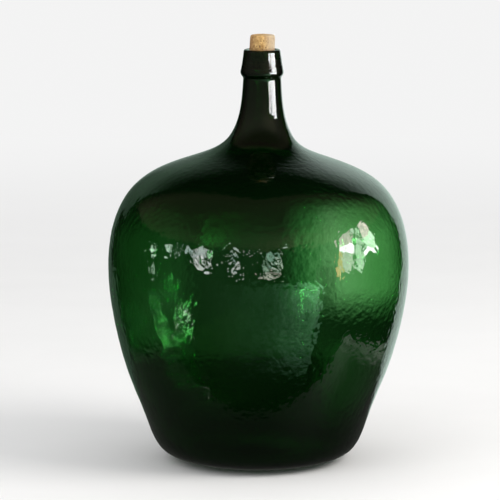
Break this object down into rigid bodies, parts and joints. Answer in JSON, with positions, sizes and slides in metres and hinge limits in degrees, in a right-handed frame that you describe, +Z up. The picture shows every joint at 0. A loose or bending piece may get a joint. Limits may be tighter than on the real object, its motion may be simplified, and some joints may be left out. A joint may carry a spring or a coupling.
{
  "type": "glass carboy",
  "caption": "Hand-blown green glass demijohn with a wide heart-shaped body, slender neck, applied conical lip and a cork that pulls out.",
  "frame": {"origin": "on the belly's vertical axis, in the plane of the ring the carboy stands on", "axes": "+Z up from the standing ring to the cork; +X is the side the neck leans towards; +Y is away from the viewer of the front"},
  "size_m": [0.3904, 0.3904, 0.556],
  "materials": {
    "green_glass": "hand-blown dark bottle green, transparent, rippled, glossy",
    "lip_glass": "thick dark bottle green, glossy, tooled",
    "cork": "natural cork, matt, pitted, stained brown on one side"
  },
  "bodies": {
    "carboy": {"glass_vessel": "green_glass", "lip_collar": "lip_glass"},
    "cork": {"cork_stopper": "cork"}
  },
  "joints": [
    {"name": "cork_pull", "type": "slide", "parent": "carboy", "child": "cork", "axis": [0, 0, 1], "range_m": [0, 0.06]}
  ]
}
